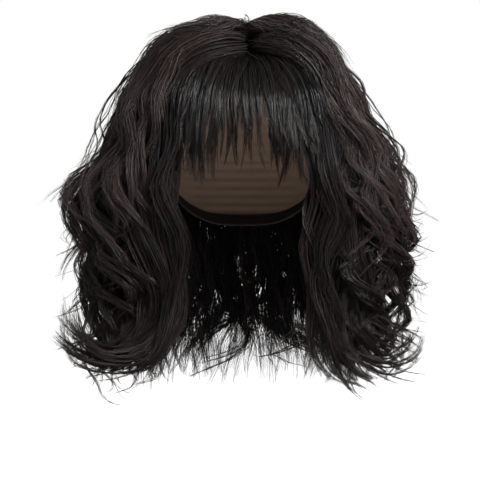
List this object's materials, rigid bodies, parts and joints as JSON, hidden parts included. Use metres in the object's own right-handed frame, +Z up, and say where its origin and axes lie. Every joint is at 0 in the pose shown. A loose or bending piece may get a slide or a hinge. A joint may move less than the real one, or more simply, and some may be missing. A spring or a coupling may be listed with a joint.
{
  "type": "wavy wig",
  "caption": "Dark brown shoulder-length wavy wig with a thin see-through fringe, a lofted parted crown and flicked-out ends, sewn on a fitted open cap.",
  "frame": {"origin": "the point inside the cap that rests on the crown of the head", "axes": "+Z up through the crown, -Y out of the face opening, +X towards the wearer's left"},
  "size_m": [0.3325, 0.2636, 0.3366],
  "materials": {
    "cap": "matte elastic net with rows of wefts",
    "hair": "satin synthetic fibre, dark brown with warmer ends"
  },
  "bodies": {
    "root": {"cap": "cap", "fringe": "hair", "crown_left": "hair", "crown_right": "hair", "side_left": "hair", "side_right": "hair", "back": "hair"}
  },
  "joints": []
}
